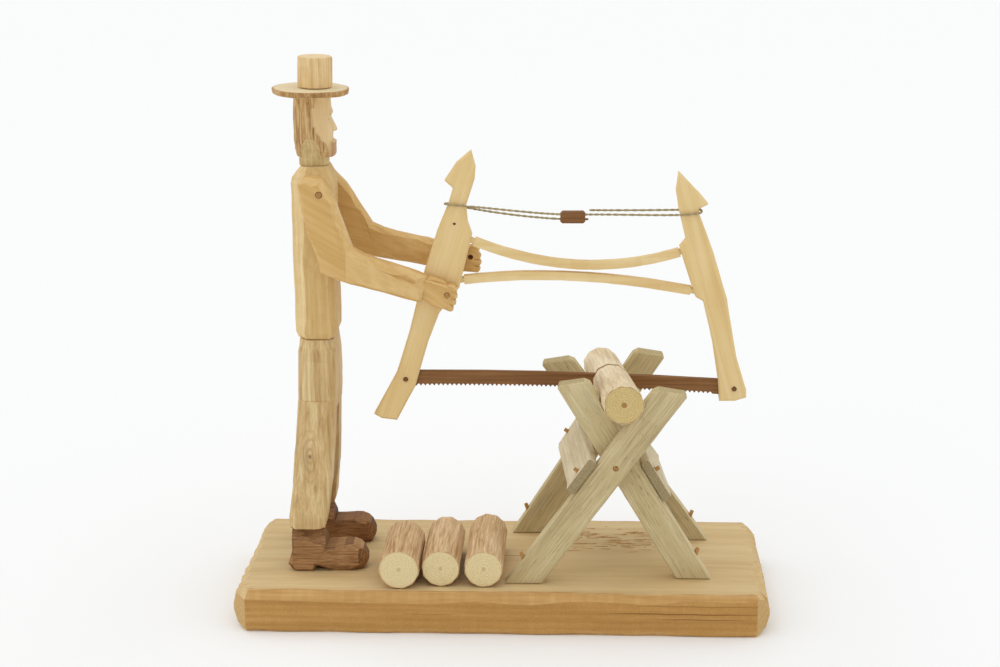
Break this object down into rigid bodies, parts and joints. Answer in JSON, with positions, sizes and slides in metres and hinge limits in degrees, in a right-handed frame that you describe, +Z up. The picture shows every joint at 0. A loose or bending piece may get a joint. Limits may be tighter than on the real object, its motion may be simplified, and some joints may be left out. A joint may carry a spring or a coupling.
{
  "type": "articulated sawyer figure",
  "caption": "Hand-carved wooden figure sawing a log on a sawbuck with a bow saw; the jointed arms and the saw rock together on pegs, with the blade in its kerf.",
  "frame": {"origin": "on the underside of the base board, below its middle", "axes": "+Z up; +X along the board, from the figure to the sawbuck; -Y is the front, the near arm's side"},
  "size_m": [0.307, 0.122, 0.3207],
  "materials": {
    "pale_wood": "whittled limewood, knife facets, matt",
    "face_wood": "whittled limewood, paler, matt",
    "board_wood": "whittled board, worn top, matt",
    "trouser_wood": "stripped branch wood, grey streaks, matt",
    "dark_wood": "stained dark brown, slight sheen",
    "weathered_wood": "grey weathered board, matt",
    "bark": "thin brown bark with a bare sawn end",
    "peeled_wood": "peeled round wood with a bare sawn end",
    "peg_wood": "round wooden pegs, matt",
    "cord_fibre": "split root cord, matt"
  },
  "bodies": {
    "stand": {"base_board": "board_wood", "near_boot": "dark_wood", "far_boot": "dark_wood", "trousers": "trouser_wood", "waist_dowel": "peg_wood", "torso": "pale_wood", "neck_dowel": "peg_wood", "head": "face_wood", "hat_brim": "pale_wood", "hat_crown": "pale_wood", "shoulder_dowel": "peg_wood", "sawn_log": "bark", "cut_log_left": "peeled_wood", "cut_log_middle": "peeled_wood", "cut_log_right": "peeled_wood", "front_rising_leg": "weathered_wood", "front_rising_foot_peg": "peg_wood", "front_falling_leg": "weathered_wood", "front_falling_foot_peg": "peg_wood", "front_crossing_peg": "peg_wood", "left_board_front_peg": "peg_wood", "right_board_front_peg": "peg_wood", "rear_rising_leg": "weathered_wood", "rear_rising_foot_peg": "peg_wood", "rear_falling_leg": "weathered_wood", "rear_falling_foot_peg": "peg_wood", "rear_crossing_peg": "peg_wood", "left_board_rear_peg": "peg_wood", "right_board_rear_peg": "peg_wood", "left_side_board": "weathered_wood", "right_side_board": "weathered_wood"},
    "near_arm": {"near_arm": "pale_wood", "near_hand_peg": "peg_wood"},
    "far_arm": {"far_arm": "pale_wood"},
    "saw": {"left_cheek": "pale_wood", "right_cheek": "pale_wood", "upper_stretcher": "pale_wood", "lower_stretcher": "pale_wood", "saw_blade": "dark_wood", "left_blade_pin": "peg_wood", "right_blade_pin": "peg_wood", "tension_cord": "cord_fibre", "toggle": "dark_wood"}
  },
  "joints": [
    {"name": "near_shoulder", "type": "hinge", "parent": "stand", "child": "near_arm", "pos_m": [-0.1005, 0.002, 0.24705], "axis": [0, -1, 0], "range_deg": [-5, 8]},
    {"name": "far_shoulder", "type": "hinge", "parent": "stand", "child": "far_arm", "pos_m": [-0.1005, 0.002, 0.24705], "axis": [0, -1, 0], "range_deg": [-6, 9]},
    {"name": "near_wrist", "type": "hinge", "parent": "near_arm", "child": "saw", "pos_m": [-0.031, 0.002, 0.18615], "axis": [0, -1, 0], "range_deg": [-15, 10]}
  ],
  "couplings": [
    {"joint": "far_shoulder", "follows": "near_shoulder", "ratio": 1},
    {"joint": "near_wrist", "follows": "near_shoulder", "ratio": -1.747}
  ]
}
